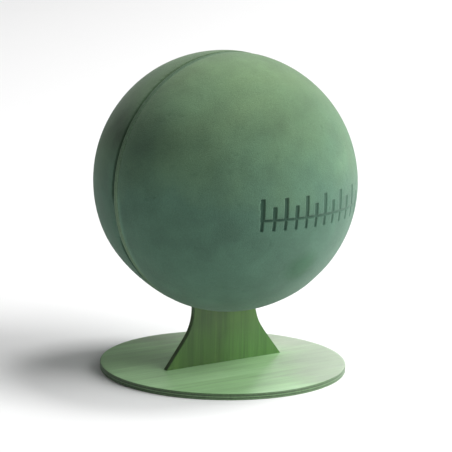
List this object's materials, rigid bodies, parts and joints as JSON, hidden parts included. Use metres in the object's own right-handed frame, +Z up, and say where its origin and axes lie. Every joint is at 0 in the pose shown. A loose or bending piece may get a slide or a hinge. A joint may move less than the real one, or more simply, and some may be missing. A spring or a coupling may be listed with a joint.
{
  "type": "floral foam ball on stand",
  "caption": "Ball of green dry floral foam in two glued halves on a flat upright board, whose flared neck is tenoned into a thin round wooden base; a free-standing base for flower designs.",
  "frame": {"origin": "centre of the round base's underside, where the stand rests on a table", "axes": "+Z up through the ball's centre; X along the upright board's width; the front half ball, with the pressed scale, looks along -Y"},
  "size_m": [0.22, 0.2264, 0.2725],
  "materials": {
    "base_wood": "matte",
    "board_wood": "matte",
    "foam": "matte",
    "glue": "satin"
  },
  "bodies": {
    "root": {"base_disc": "base_wood", "upright_board": "board_wood", "foam_half_front": "foam", "foam_half_rear": "foam", "glue_dabs_front": "glue", "glue_dabs_rear": "glue"}
  },
  "joints": []
}
